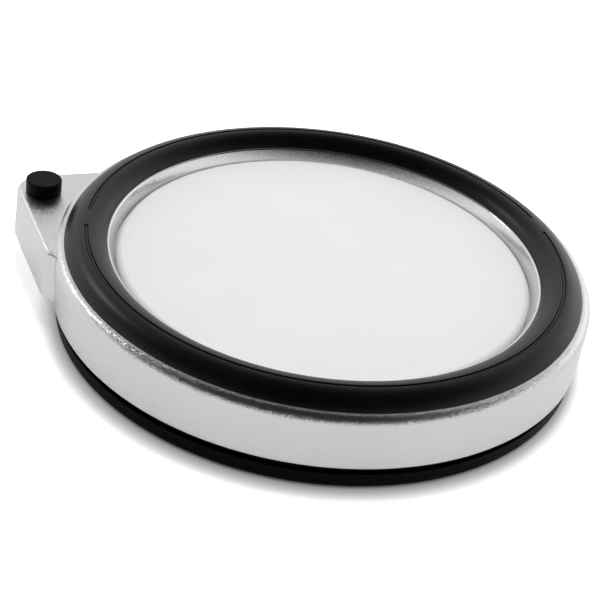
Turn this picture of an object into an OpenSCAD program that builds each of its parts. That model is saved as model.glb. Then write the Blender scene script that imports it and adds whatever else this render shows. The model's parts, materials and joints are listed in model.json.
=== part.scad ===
// Electronic practice pad: silver shell with an ear, rubber rim, soft white head and black base.
// Millimetres, +Z up. The origin is on the pad's axis, on the surface that it stands on.
// -Y is the player's side, and the ear stands at the left rear corner.

/* [Shell] */
// Outside diameter of the silver shell
shell_d = 284; // [270:1:320]
// Height of the shell's lower edge above the surface
shell_lift = 13.3; // [12:0.1:18]
// Height of the shell from its lower edge to its top lip
shell_h = 29; // [28:0.1:36]
// Thickness of the shell's side wall
shell_wall = 4; // [3:0.1:5]
// Depth of the step inside the wall that rests on the base
skirt_step = 1; // [0.8:0.1:1.5]
// Radius of the rounded shoulder, where the rubber begins
shoulder_r = 5; // [4:0.1:6]
// Thickness of the lip on top of the shell
lip_t = 3; // [2:0.1:4]
// Width of the lip under the rubber
lip_w = 4; // [3:0.1:5]
// Thickness of the collar that hangs from the lip
collar_t = 2.5; // [2:0.1:3]
// Thickness of the ledge that carries the rim frame
ledge_t = 2.5; // [2:0.1:4]

/* [Rim] */
// Width of the rubber hoop at its foot
rim_w = 22.2; // [20:0.1:24]
// Height of the rubber's crown above the shell
rim_h = 6.8; // [5.5:0.1:8]
// Width of the groove along the crown
groove_w = 1.5; // [1:0.1:3]
// Depth of the groove along the crown
groove_depth = 0.8; // [0.4:0.1:1.5]
// Angle of the middle of the left gap between the groove's two arcs
gap_left = 161.4; // [156:0.1:168]
// Angle of the middle of the right gap between the groove's two arcs
gap_right = -0.4; // [-10:0.1:10]
// Angle that each gap covers
gap_deg = 6.8; // [5:0.1:9]
// Width of the tongue under the rubber that keys into the frame
tongue_w = 1.8; // [1.2:0.1:2.4]
// Height of the tongue
tongue_h = 2.2; // [1.5:0.1:2.6]
// Distance from the rubber's inner foot to the tongue
tongue_inset = 2.3; // [1.5:0.1:3]
// Width of the film switches under the rubber
film_w = 9; // [7:0.1:10]
// Thickness of the film switches
film_t = 0.8; // [0.4:0.1:1.2]

/* [Rim frame] */
// Thickness of the frame's plate under the rubber
frame_t = 4.2; // [3.8:0.1:5]
// Width of the slanted face between the rubber and the head
bezel_w = 3.8; // [3:0.1:5]
// Height of the slanted face
bezel_h = 5.9; // [4.5:0.1:6.5]
// Radius of the slanted face's rounded top edge
bezel_round = 1.2; // [0.5:0.1:1.6]
// Thickness of the wall behind the slanted face
bezel_wall = 3; // [2:0.1:4]
// Diameter of the frame's screw posts
post_d = 9; // [8:0.1:10]
// Space between the head's flange and the posts
post_gap = 1; // [0.8:0.1:2]
// Number of posts and of the screws from below
post_count = 8; // [8]

/* [Head] */
// Space round the head
head_gap = 0.6; // [0.4:0.1:1]
// Depth of the head's face below the shell's top
head_drop = 4.8; // [4:0.1:5.6]
// Thickness of the head
head_t = 6; // [5.5:0.1:8]
// Radius of the head's rounded edge
head_edge = 2; // [0.5:0.1:2.4]
// Width of the flange that holds the head under the frame
flange_w = 6.6; // [5:0.1:8]
// Thickness of the flange
flange_t = 2.5; // [1.5:0.1:3]
// Space between the flange and the frame above it
flange_gap = 0.3; // [0.2:0.1:0.6]
// Thickness of the steel plate under the head
plate_t = 1.6; // [1:0.1:2.5]
// Thickness of the foam that the plate floats on
foam_t = 8.8; // [6:0.1:12]
// Width of the foam ring
foam_w = 16; // [12:0.5:20]

/* [Strike sensor] */
// Diameter of the brass disc
piezo_d = 35; // [27:1:41]
// Thickness of the brass disc
piezo_t = 0.4; // [0.3:0.1:0.6]
// Diameter of the ceramic on the disc
ceramic_d = 25; // [16:1:26]
// Thickness of the ceramic
ceramic_t = 0.3; // [0.2:0.1:0.5]
// Thickness of the foam tape between plate and disc
tape_t = 1; // [0.5:0.1:2]

/* [Base] */
// How far the base stands in from the shell's side
base_inset = 1.8; // [1.5:0.1:3]
// Thickness of the base's floor
base_floor = 2.5; // [2:0.1:4]
// Thickness of the base's wall
base_wall = 5.5; // [5:0.1:7]
// Depth of the dark band below the shell
band_depth = 3.2; // [2:0.1:3.5]
// Height of the dark band
band_h = 4.8; // [4:0.1:6]
// Thickness of the bead in the dark band
bead_t = 1; // [0.6:0.1:1.4]
// How far the bead stands in from the base's side
bead_in = 0.2; // [0.1:0.1:1]
// Space between the bead and the shell's lower edge
bead_drop = 1.2; // [0.8:0.1:1.6]
// Rounding of the base's lower edge
base_edge = 3; // [1:0.1:4]
// Height of the spigot that the shell sits on
spigot_h = 5.8; // [4:0.1:8]
// Space between the spigot and the shell round it
spigot_gap = 0.3; // [0.2:0.1:0.6]
// Height of the screw bosses above the floor
boss_h = 6.5; // [5:0.1:8]
// Diameter of the screw bosses
boss_d = 12; // [11.5:0.1:13]
// Thickness of the seat under the foam
seat_t = 2.5; // [2:0.1:4]
// Thickness of the ring wall that carries the seat
web_t = 3; // [2:0.1:4]

/* [Screws] */
// Diameter of the case screws
screw_d = 3.5; // [3:0.1:4]
// Diameter of their heads
screw_head_d = 7; // [6:0.1:7.4]
// Height of their heads
screw_head_h = 2.4; // [2:0.1:3]
// Length of their threads above the heads
screw_l = 20; // [14:0.5:24]
// Depth of the sunk hole from below
sink_depth = 4.6; // [4:0.1:6]
// Space round a screw in its pilot hole
thread_gap = 0.05; // [0.02:0.01:0.1]
// Space round a screw or head in a clearance hole
screw_gap = 0.3; // [0.2:0.05:0.5]

/* [Ear] */
// How far the ear's left face, run on to its rear face, stands out past the shell
ear_out = 7.1; // [6:0.1:9]
// Angle round the shell, from its left, at which the ear's rear face leaves it
ear_rear_deg = 44.88; // [42:0.02:48]
// Length of the ear's left face with its rounded corner
ear_len = 77; // [70:0.5:80]
// Angle at which the left face comes in towards its front end
ear_taper = 2.3; // [1:0.1:3]
// How far the left face stands in at its top
ear_draft = 1.4; // [0.5:0.1:2]
// Depth of the ear's top below the shell's top
ear_drop = 1; // [0.5:0.1:2]
// Thickness of the ear's walls
ear_wall = 2.5; // [2:0.1:3]
// Radius of the ear's upright corner
ear_corner = 15; // [12:0.1:16]
// Rounding of the ear's top edges
ear_edge = 2; // [1:0.1:2.4]
// Run of the slanted front end across the ear
nose_w = 5.3; // [4:0.1:7]
// Run of the slanted front end along the ear
nose_l = 7.2; // [6:0.1:10]
// Thickness of the plate that closes the ear from below
ear_cover_t = 2.5; // [2:0.1:4]
// Space round that plate
ear_cover_gap = 0.2; // [0.1:0.1:0.4]
// Diameter of the ear's small screws
ear_screw_d = 2.6; // [2:0.1:3]
// Diameter of the bosses that take them
ear_boss_d = 6; // [5.5:0.1:6.5]
// Length of the ear's small screws below their heads
ear_screw_l = 9; // [6:0.5:12]

/* [Knob] */
// Diameter of the knob
knob_d = 19; // [18:0.1:22]
// Height of the knob
knob_h = 7.4; // [7:0.1:10]
// Space between the knob and the ear
knob_lift = 0.5; // [0.3:0.1:1]
// Rounding of the knob's top edge
knob_edge = 0.8; // [0.3:0.1:2]
// Distance from the ear's left face, at its rear, to the knob's middle
knob_side = 15.2; // [14:0.1:17]
// Distance from the ear's rear face to the knob's middle
knob_rear = 18.4; // [17:0.1:22]
// Diameter of the control's shaft
shaft_d = 6; // [5:0.1:6.4]
// Depth of the flat on the shaft
shaft_flat = 1.5; // [1:0.1:2]
// Depth of the shaft in the knob's socket
socket_depth = 3.9; // [3:0.1:4]
// Diameter of the threaded neck round the shaft
neck_d = 8; // [7.5:0.1:9]
// Height of the neck above the ear
neck_h = 2.2; // [1.8:0.1:2.4]
// Thickness of the neck's washer
pot_washer_t = 0.4; // [0.3:0.1:0.6]
// Thickness of the neck's nut
pot_nut_t = 1.6; // [1.2:0.1:2]
// Width of the neck's nut across its flats
pot_nut_af = 10; // [9.6:0.1:10.5]
// Width of the control's body
pot_w = 10; // [9:0.1:12]
// Length of the control's body
pot_l = 12; // [10:0.1:14]
// Height of the control's body
pot_h = 6.5; // [5:0.1:8]
// Space round the turning shaft
running_gap = 0.05; // [0.02:0.01:0.1]

/* [Output socket] */
// Diameter of the plug that it takes
plug_d = 6.35; // [6.3:0.01:6.4]
// Space round the plug in the bore
plug_gap = 0.075; // [0.05:0.005:0.2]
// Depth of the bore
bore_l = 31; // [28:0.5:33]
// Distance from the ear's left face, at its rear, to the socket's middle
jack_side = 31.1; // [30:0.1:33]
// Height of the socket's middle above the shell's lower edge
jack_rise = 13; // [12.5:0.1:13.5]
// Width of the socket's body
jack_w = 15; // [13:0.1:15.5]
// Height of the socket's body
jack_h = 12.6; // [12:0.1:13]
// Thickness of the socket's rear end behind the bore
jack_end = 2; // [1.5:0.1:3]
// Diameter of the threaded nose
nose_d = 9; // [8.4:0.1:9.6]
// Length of the nose past the plate round it
nose_out = 3.4; // [3:0.1:5]
// Thickness of the plate round the nose
jack_plate_t = 1.5; // [1:0.1:2.5]
// Width of the plate round the nose
jack_plate_w = 24; // [20:0.5:25]
// Height of the plate round the nose
jack_plate_h = 20; // [16:0.5:22]
// Thickness of the nose's washer
jack_washer_t = 0.6; // [0.4:0.1:1]
// Thickness of the nose's nut
jack_nut_t = 2; // [1.5:0.1:2.2]
// Width of the nose's nut across its flats
jack_nut_af = 12; // [11:0.1:13]
// Length of the solder lugs
lug_l = 4; // [3:0.1:6]

/* [Board] */
// Length of the circuit board
board_l = 60; // [50:1:70]
// Width of the circuit board
board_w = 40; // [36:1:44]
// Thickness of the circuit board
board_t = 1.6; // [1:0.1:2]
// Place of the board's middle along X
board_x = -50; // [-54:1:-46]
// Place of the board's middle along Y
board_y = 30; // [26:1:34]
// Height of the board above the floor
board_lift = 6; // [4:0.1:8]
// Height of the plugs on the board
plug_h = 6; // [5:0.1:7]
// Diameter of the leads inside the case
lead_d = 1.8; // [1.2:0.1:2]

/* [Hidden] */
$fn = 96;
// Overshoot of a cut past the face that it leaves
cut = 1;

// Radii from the pad's axis, from the outside in
shell_r = shell_d / 2;
wall_r = shell_r - shell_wall;
skirt_r = wall_r + skirt_step;
rim_ro = shell_r - shoulder_r;
rim_ri = rim_ro - rim_w;
rim_rc = (rim_ro + rim_ri) / 2;
collar_r = rim_ro - lip_w;
fit_gap = 0.2;
frame_r = collar_r - fit_gap;
bezel_r = rim_ri - bezel_w;
head_r = bezel_r - head_gap;
flange_r = head_r + flange_w;
post_r = flange_r + post_gap + post_d / 2;
ledge_r = post_r + post_d / 2 + post_gap;
foam_in = 1;
foam_ro = flange_r - foam_in;
foam_ri = foam_ro - foam_w;
foam_rc = (foam_ro + foam_ri) / 2;
base_r = shell_r - base_inset;
base_ri = base_r - base_wall;
band_r = base_r - band_depth;
bead_r = base_r - bead_in;
spigot_r = skirt_r - spigot_gap;

// Heights from the bottom up
boss_z = base_floor + boss_h;
board_z = base_floor + board_lift;
plug_z = board_z + board_t + plug_h;
band_z = shell_lift - band_h;
bead_z = shell_lift - bead_drop;
spigot_z = shell_lift + spigot_h;
shell_z = shell_lift + shell_h;
ledge_z = shell_z - frame_t;
head_z = shell_z - head_drop;
head_z0 = head_z - head_t;
flange_z = head_z0 + flange_t;
bezel_z0 = flange_z + flange_gap;
plate_z = head_z0 - plate_t;
tape_z = plate_z - tape_t;
disc_z = tape_z - piezo_t;
ceramic_z = disc_z - ceramic_t;
seat_z = plate_z - foam_t;
film_gap = 0.1;
film_z = shell_z - film_t - film_gap;
crown_z = shell_z + rim_h;
ear_z = shell_z - ear_drop;
ear_ceiling = ear_z - ear_wall;
shaft_z = ear_ceiling - pot_h / 2;
recess_z = ear_z + neck_h + knob_lift;
end_gap = 0.2;

// The ear's faces, the knob's axis and the socket's axis, whose plate keeps clear of the ring
ear_x = -shell_r - ear_out;
ear_y = shell_r * sin(ear_rear_deg);
nose_y = ear_y - ear_len;
knob_x = ear_x + knob_side;
knob_y = ear_y - knob_rear;
plate_gap = 1;
jack_x = min(ear_x + jack_side, -sqrt(pow(shell_r, 2) - pow(ear_y, 2)) - jack_plate_w / 2 - plate_gap);
jack_z = shell_lift + jack_rise;
jack_y = ear_y - ear_wall;
jack_front = ear_y + jack_plate_t + nose_out;
jack_back = jack_front - bore_l - jack_end;
bore_r = plug_d / 2 + plug_gap;
opening_gap = 0.5;
opening_w = nose_d + 2 * opening_gap;
door_gap = 1;

// The control's solder tab
tab_l = 2;
tab_h = 2;
tab_rise = 1;
tab_y = knob_y - pot_l / 2 - tab_l;

// The ear's screws: in the rear corner, on the shell's side between the other two, and at the front end,
// where the boss clears the shell
ear_post_in = [12.1, 8.7];
ear_end_in = 9.5;
ear_end_gap = 1;
ear_post_r = shell_r + ear_boss_d / 2;
front_post_x = ear_left(nose_y + ear_end_in) + ear_wall + ear_boss_d / 2 + ear_end_gap;
front_post_y = max(nose_y + ear_end_in, sqrt(pow(ear_post_r, 2) - pow(front_post_x, 2)));
mid_post_y = (front_post_y + tab_y) / 2;
ear_posts = [[ear_x + ear_post_in.x, ear_y - ear_post_in.y],
             [-sqrt(pow(ear_post_r, 2) - pow(mid_post_y, 2)), mid_post_y],
             [front_post_x, front_post_y]];
// Angles of the opening between the ear and the main space, from beside the socket to past the leads
ear_door_from_deg = acos((jack_x + jack_w / 2 + door_gap) / shell_r);
ear_door_to_deg = 163;
// Angles of the doorway for the leads in the ring wall under the foam
lead_door_from_deg = 146;
lead_door_to_deg = 166;

// Slot in the frame for the two film tails, at the left gap
tail_w = 2;
tail_t = 0.8;
tail_off = 1.5;
tail_drop = 3;
tail_z = ledge_z - tail_drop;
slot_gap = 0.5;

// Plugs on the board: a row for the case leads at the left end, and one for the strike sensor at the right
board_screw_d = 2.6;
board_edge = 4;
plug_w = 6;
plug_pitch = 5;
lead_count = 4;
bus_l = lead_count * plug_pitch;
bus_in = 11;
bus_up = 7;
bus_at = [board_x - board_l / 2 + bus_in, board_y + bus_up];
piezo_in = 8;
piezo_at = [board_x + board_l / 2 - piezo_in, board_y];

// Parts on the board, in two rows on either side of its middle
chip_l = 9;
chip_w = 6;
chip_h = 2;
cap_d = 5;
cap_h = 6;
cap_pitch = 8;
part_row = 6;

// How the leads leave their parts, fall to the doorway and reach the plugs
stub = 3.6;
pull = 12;
door_rise = 3;
door_lift = 4;
door_step_deg = 3.2;
solder_x = 6;

// Points along an arc, for outlines with rounded corners
function arc(c, r, from, to, steps = 8) =
    [for (i = [0:steps]) let (a = from + (to - from) * i / steps) c + r * [cos(a), sin(a)]];

// Where the foot of the ear's left face stands at one depth
function ear_left(y) = ear_x + (ear_y - y) * tan(ear_taper);

// One of the ear's outlines, drawn in by an even margin and run on into the shell
function ear_outline(margin) =
    let (front = nose_y + margin / 2,
         left = ear_left(front) + margin / cos(ear_taper),
         rear = ear_y - margin,
         turn_y = ear_y - ear_corner,
         turn_x = ear_left(turn_y) + ear_corner / cos(ear_taper))
    concat([[left, front]],
           arc([turn_x, turn_y], ear_corner - margin, 180 + ear_taper, 90),
           [[-shell_r / 2, rear],
            [-shell_r / 2, front - 2 * nose_l],
            [left + 2 * nose_w, front - 2 * nose_l]]);

// The rubber's round back is one arc through both feet and the crown
crown_r = (pow(rim_w / 2, 2) + pow(rim_h, 2)) / (2 * rim_h);
crown_angle = asin((crown_r - rim_h) / crown_r);

// Unit vector, and the direction of a route at one of its points
function unit(v) = v / norm(v);
function heading(p, i) =
    i == 0 ? unit(p[1] - p[0])
    : i == len(p) - 1 ? unit(p[i] - p[i - 1])
    : unit(unit(p[i + 1] - p[i]) + unit(p[i] - p[i - 1]));
// A route's side directions, each carried on from the one before so that the tube doesn't twist
function side_at(p, i) =
    let (t = heading(p, i), s = i == 0 ? (abs(t[2]) > 0.9 ? [1, 0, 0] : [0, 0, 1]) : side_at(p, i - 1))
    unit(s - (s * t) * t);

// Points on a smooth bend from a to b, pulled at each end, with the first point left out if it is known
function bend(a, a_pull, b, b_pull, first = 0, steps = 6) =
    [for (i = [first:steps]) let (t = i / steps, u = 1 - t)
        u * u * u * a + 3 * u * u * t * (a + a_pull) + 3 * u * t * t * (b + b_pull) + t * t * t * b];

// The lead on place k of the plug row: it leaves its part, falls to the doorway and rises to the plug
function case_lead(from, out, k) =
    let (a = lead_door_to_deg - (k + 2) * door_step_deg,
         radial = [cos(a), sin(a), 0],
         up = [0, 0, 1],
         door = foam_rc * radial + (boss_z + door_rise) * up,
         plug = [bus_at[0], bus_at[1] + (k - (lead_count - 1) / 2) * plug_pitch, plug_z])
    concat([from],
           bend(from + stub * out, pull * out, door, pull * radial + door_lift * up),
           bend(door, -pull * radial, plug + stub * up, pull * up, 1),
           [plug]);

// Lower end of a film switch's tail, on one side or the other of the left gap's middle
function tail_end(side) =
    let (across = side * (tail_off + tail_t / 2), c = cos(gap_left), s = sin(gap_left))
    [rim_rc * c - across * s, rim_rc * s + across * c, tail_z];

// A round tube swept along a route
module tube(p, d, sides = 8) {
    rings = [for (i = [0:len(p) - 1])
        let (t = heading(p, i), u = side_at(p, i), v = cross(t, u))
        for (k = [0:sides - 1]) p[i] + d / 2 * (cos(360 * k / sides) * u + sin(360 * k / sides) * v)];
    last = (len(p) - 1) * sides;
    skin = [for (i = [0:len(p) - 2], k = [0:sides - 1], half = [0, 1])
        let (a = i * sides + k, b = i * sides + (k + 1) % sides)
        half == 0 ? [a, a + sides, b] : [b, a + sides, b + sides]];
    first_end = [for (k = [1:sides - 2]) [0, k, k + 1]];
    last_end = [for (k = [1:sides - 2]) [last, last + k + 1, last + k]];
    polyhedron(points = rings, faces = concat(skin, first_end, last_end));
}

// Places its children at each of the case's screws
module at_posts() {
    for (i = [0:post_count - 1]) rotate(i * 360 / post_count) translate([post_r, 0, 0]) children();
}

// Places its children at each of the ear's screws
module at_ear_posts() {
    for (p = ear_posts) translate(p) children();
}

// A screw that points up, its head's seat at the origin, with a cross in its head
module screw(d, head_d, head_h, l) {
    cross_w = head_d * 0.16;
    cross_l = head_d * 0.6;
    cross_depth = head_h * 0.5;
    difference() {
        union() {
            cylinder(d = d, h = l);
            translate([0, 0, -head_h]) cylinder(d1 = head_d * 0.86, d2 = head_d, h = head_h);
        }
        for (a = [0, 90]) rotate(a) translate([-cross_l / 2, -cross_w / 2, -head_h - cut])
            cube([cross_l, cross_w, cross_depth + cut]);
    }
}

// A six-sided nut on the Z axis with a plain hole
module hex_nut(across, t, hole_d) {
    difference() {
        cylinder(d = across / cos(30), h = t, $fn = 6);
        translate([0, 0, -cut]) cylinder(d = hole_d, h = t + 2 * cut);
    }
}

// A flat ring on the Z axis
module flat_ring(outer_d, inner_d, t) {
    difference() {
        cylinder(d = outer_d, h = t);
        translate([0, 0, -cut]) cylinder(d = inner_d, h = t + 2 * cut);
    }
}

// A sector of a ring: an extruded cut or strip between two radii, two heights and two angles
module ring_sector(r0, r1, z0, z1, from, to) {
    rotate(from) rotate_extrude(angle = to - from) translate([r0, z0]) square([r1 - r0, z1 - z0]);
}

// All that lies behind the ear's leaning left face, which is rounded at its top edge
module ear_lean() {
    translate([ear_x, ear_y, 0]) rotate(ear_taper) rotate([90, 0, 0])
        linear_extrude(4 * shell_r, center = true)
            polygon(concat([[2 * shell_r, 0], [0, 0], [0, shell_lift]],
                           arc([ear_draft + ear_edge, ear_z - ear_edge], ear_edge, 180, 90),
                           [[2 * shell_r, ear_z]]));
}

// The ear's inside between two heights, with walls of an even thickness
module ear_space(wall, from, to) {
    intersection() {
        translate([0, 0, from]) linear_extrude(to - from) polygon(ear_outline(wall));
        translate([wall, 0, 0]) ear_lean();
    }
}

// The ear's outside: its outline, with its left and rear top edges rounded
module ear_block() {
    intersection() {
        translate([0, 0, shell_lift]) linear_extrude(ear_z - shell_lift) polygon(ear_outline(0));
        ear_lean();
        rotate([90, 0, 90]) linear_extrude(4 * shell_r, center = true)
            polygon(concat([[-shell_r, 0], [ear_y, 0]],
                           arc([ear_y - ear_edge, ear_z - ear_edge], ear_edge, 0, 90), [[-shell_r, ear_z]]));
    }
}

// The socket's axis, pointing out of the ear
module at_jack(y) {
    translate([jack_x, y, jack_z]) rotate([-90, 0, 0]) children();
}

// The ring of the shell, cut through its wall, lip, collar and ledge
module shell_ring() {
    rotate_extrude() polygon(concat(
        [[skirt_r, shell_lift], [shell_r, shell_lift]],
        arc([rim_ro, shell_z - shoulder_r], shoulder_r, 0, 90),
        [[collar_r, shell_z], [collar_r, ledge_z], [ledge_r, ledge_z], [ledge_r, ledge_z - ledge_t],
         [collar_r + collar_t, ledge_z - ledge_t], [collar_r + collar_t, shell_z - lip_t],
         [wall_r, shell_z - lip_t], [wall_r, spigot_z], [skirt_r, spigot_z]]));
}

module shell() {
    cover_z = shell_lift + ear_cover_t;
    color([0.8, 0.81, 0.82])
    difference() {
        union() {
            shell_ring();
            difference() {
                ear_block();
                ear_space(ear_wall, shell_lift - cut, ear_ceiling);
                cylinder(r = wall_r + shell_wall / 2, h = crown_z);
            }
            intersection() {
                ear_space(ear_wall / 2, cover_z, ear_ceiling + cut);
                at_ear_posts() cylinder(d = ear_boss_d, h = crown_z);
            }
        }
        ring_sector(wall_r - cut, shell_r + cut, spigot_z, ledge_z - ledge_t,
                    ear_door_from_deg, ear_door_to_deg);
        at_ear_posts() cylinder(d = ear_screw_d + 2 * thread_gap, h = cover_z + ear_screw_l);
        translate([knob_x, knob_y, ear_ceiling - cut])
            cylinder(d = neck_d + 2 * fit_gap, h = ear_wall + 2 * cut);
        translate([jack_x - opening_w / 2, jack_y - cut, jack_z - opening_w / 2])
            cube([opening_w, ear_wall + 2 * cut, opening_w]);
    }
}

module rim_frame() {
    film_r = (film_w + 2 * fit_gap) / 2;
    slot_w = tail_w + 2 * slot_gap;
    slot_l = 2 * (tail_off + tail_t + slot_gap);
    slant = atan2(bezel_w - bezel_round, bezel_h - bezel_round);
    color([0.78, 0.79, 0.8])
    difference() {
        union() {
            rotate_extrude() polygon(concat(
                [[frame_r, ledge_z], [frame_r, shell_z]],
                arc([rim_ri, shell_z - bezel_round], bezel_round, 90, 180 - slant),
                [[bezel_r, shell_z - bezel_h], [bezel_r, bezel_z0], [bezel_r + bezel_wall, bezel_z0],
                 [bezel_r + bezel_wall, ledge_z]]));
            at_posts() translate([0, 0, boss_z]) cylinder(d = post_d, h = ledge_z - boss_z + cut);
        }
        ring_sector(rim_rc - film_r, rim_rc + film_r, film_z, shell_z + cut, 0, 360);
        ring_sector(rim_ri + tongue_inset - fit_gap, rim_ri + tongue_inset + tongue_w + fit_gap,
                    shell_z - tongue_h - fit_gap, shell_z + cut, 0, 360);
        rotate(gap_left) translate([rim_rc - slot_w / 2, -slot_l / 2, ledge_z - cut])
            cube([slot_w, slot_l, frame_t + 2 * cut]);
        at_posts() cylinder(d = screw_d + 2 * thread_gap, h = sink_depth + screw_l + cut);
    }
}

module rim_hoop() {
    c = [rim_rc, crown_z - crown_r];
    color([0.08, 0.08, 0.09])
    difference() {
        rotate_extrude() polygon(concat(
            arc(c, crown_r, crown_angle, 180 - crown_angle, 24),
            [[rim_ri + tongue_inset, shell_z], [rim_ri + tongue_inset, shell_z - tongue_h],
             [rim_ri + tongue_inset + tongue_w, shell_z - tongue_h],
             [rim_ri + tongue_inset + tongue_w, shell_z]]));
        for (span = [[gap_right, gap_left], [gap_left, gap_right + 360]])
            ring_sector(rim_rc - groove_w / 2, rim_rc + groove_w / 2, crown_z - groove_depth, crown_z + cut,
                        span[0] + gap_deg / 2, span[1] - gap_deg / 2);
    }
}

// A film switch under one arc, with a tail that turns down through the frame's slot
module film_switch(from, to, side) {
    gap_l = rim_rc * gap_deg / 2 * PI / 180;
    ring_sector(rim_rc - film_w / 2, rim_rc + film_w / 2, film_z, film_z + film_t, from, to);
    rotate(gap_left) mirror([0, side, 0]) translate([rim_rc - tail_w / 2, tail_off, 0]) {
        translate([0, 0, film_z]) cube([tail_w, gap_l - tail_off + cut, film_t]);
        translate([0, 0, tail_z]) cube([tail_w, tail_t, film_z - tail_z + film_t]);
    }
}

module front_rim_switch() {
    color([0.75, 0.5, 0.2]) film_switch(gap_left + gap_deg / 2, gap_right + 360 - gap_deg / 2, 0);
}

module rear_rim_switch() {
    color([0.7, 0.45, 0.2]) film_switch(gap_right + gap_deg / 2, gap_left - gap_deg / 2, 1);
}

module playing_head() {
    color([0.95, 0.95, 0.94])
    rotate_extrude() polygon(concat(
        [[0, head_z0], [flange_r, head_z0], [flange_r, flange_z], [head_r, flange_z]],
        arc([head_r - head_edge, head_z - head_edge], head_edge, 0, 90),
        [[0, head_z]]));
}

module head_plate() {
    color([0.6, 0.62, 0.64]) translate([0, 0, plate_z]) cylinder(r = flange_r, h = plate_t);
}

module foam_ring() {
    color([0.25, 0.25, 0.27]) ring_sector(foam_ri, foam_ro, seat_z, plate_z, 0, 360);
}

module piezo_tape() {
    color([0.2, 0.2, 0.2]) translate([0, 0, tape_z]) cylinder(d = piezo_d, h = tape_t);
}

module piezo_disc() {
    color([0.8, 0.65, 0.3]) translate([0, 0, disc_z]) cylinder(d = piezo_d, h = piezo_t);
}

module piezo_ceramic() {
    color([0.85, 0.85, 0.8]) translate([0, 0, ceramic_z]) cylinder(d = ceramic_d, h = ceramic_t);
}

module bottom_cover() {
    pillar_d = 6;
    color([0.12, 0.12, 0.13])
    difference() {
        union() {
            rotate_extrude() polygon(concat(
                [[0, 0]],
                arc([base_r - base_edge, base_edge], base_edge, -90, 0),
                [[base_r, band_z], [band_r, band_z], [band_r, bead_z - bead_t],
                 [bead_r, bead_z - bead_t], [bead_r, bead_z],
                 [spigot_r, bead_z], [spigot_r, spigot_z],
                 [base_ri, spigot_z], [base_ri, base_floor], [0, base_floor]]));
            ring_sector(foam_ri, foam_ro, seat_z - seat_t, seat_z, 0, 360);
            ring_sector(foam_rc - web_t / 2, foam_rc + web_t / 2, base_floor - cut, seat_z - cut, 0, 360);
            at_posts() translate([0, 0, base_floor - cut]) cylinder(d = boss_d, h = boss_h + cut);
            at_board_corners() translate([0, 0, base_floor - cut])
                cylinder(d = pillar_d, h = board_lift + cut);
        }
        ring_sector(foam_rc - web_t, foam_rc + web_t, boss_z, seat_z - seat_t,
                    lead_door_from_deg, lead_door_to_deg);
        at_posts() {
            translate([0, 0, -cut]) cylinder(d = screw_head_d + 2 * screw_gap, h = sink_depth + cut);
            cylinder(d = screw_d + 2 * screw_gap, h = boss_z + cut);
        }
        at_board_corners() translate([0, 0, base_floor])
            cylinder(d = board_screw_d + 2 * thread_gap, h = board_lift + cut);
    }
}

module cover_screws() {
    color([0.35, 0.35, 0.37])
    at_posts() translate([0, 0, sink_depth]) screw(screw_d, screw_head_d, screw_head_h, screw_l);
}

module ear_cover() {
    head_d = 2 * ear_screw_d;
    color([0.14, 0.14, 0.15])
    difference() {
        ear_space(ear_wall + ear_cover_gap, shell_lift, shell_lift + ear_cover_t);
        translate([0, 0, shell_lift - cut]) cylinder(r = shell_r + ear_cover_gap, h = ear_cover_t + 2 * cut);
        at_ear_posts() {
            cylinder(d = ear_screw_d + 2 * screw_gap, h = shell_z);
            cylinder(d = head_d + 2 * screw_gap, h = shell_lift + ear_cover_t / 2);
        }
    }
}

module ear_screws() {
    color([0.35, 0.35, 0.37])
    at_ear_posts() translate([0, 0, shell_lift + ear_cover_t / 2])
        screw(ear_screw_d, 2 * ear_screw_d, ear_cover_t / 2 - end_gap, ear_screw_l);
}

// The shaft's round with its flat, wider by a gap where it is a socket
module shaft_round(gap, h) {
    intersection() {
        cylinder(d = shaft_d + 2 * gap, h = h);
        translate([-shaft_d, -shaft_d, 0]) cube([1.5 * shaft_d - shaft_flat + gap, 2 * shaft_d, h]);
    }
}

module control_knob() {
    bottom = ear_z + knob_lift;
    recess_gap = 1;
    recess_d = pot_nut_af / cos(30) + 2 * recess_gap;
    color([0.07, 0.07, 0.08])
    translate([knob_x, knob_y, 0])
    difference() {
        rotate_extrude() polygon(concat(
            [[0, bottom], [knob_d / 2, bottom]],
            arc([knob_d / 2 - knob_edge, bottom + knob_h - knob_edge], knob_edge, 0, 90),
            [[0, bottom + knob_h]]));
        translate([0, 0, bottom - cut]) cylinder(d = recess_d, h = recess_z - bottom + cut);
        translate([0, 0, recess_z - cut]) shaft_round(thread_gap, socket_depth + cut);
    }
}

module pot_shaft() {
    color([0.7, 0.71, 0.72])
    translate([knob_x, knob_y, 0]) {
        translate([0, 0, shaft_z]) cylinder(d = shaft_d, h = recess_z - shaft_z - cut);
        translate([0, 0, recess_z - 2 * cut]) shaft_round(0, socket_depth + 2 * cut - end_gap);
    }
}

module pot_body() {
    color([0.2, 0.3, 0.25])
    translate([knob_x, knob_y, 0])
    difference() {
        union() {
            translate([-pot_w / 2, -pot_l / 2, ear_ceiling - pot_h]) cube([pot_w, pot_l, pot_h]);
            translate([0, 0, ear_ceiling - cut]) cylinder(d = neck_d, h = ear_wall + neck_h + cut);
            translate([-pot_w / 4, tab_y - knob_y, ear_ceiling - pot_h + tab_rise])
                cube([pot_w / 2, tab_l + cut, tab_h]);
        }
        translate([0, 0, shaft_z - end_gap])
            cylinder(d = shaft_d + 2 * running_gap, h = pot_h + ear_wall + neck_h);
    }
}

module pot_washer() {
    color([0.75, 0.75, 0.76])
    translate([knob_x, knob_y, ear_z]) flat_ring(pot_nut_af, neck_d + 2 * thread_gap, pot_washer_t);
}

module pot_nut() {
    color([0.75, 0.75, 0.76])
    translate([knob_x, knob_y, ear_z + pot_washer_t])
        hex_nut(pot_nut_af, pot_nut_t, neck_d + 2 * thread_gap);
}

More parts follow.
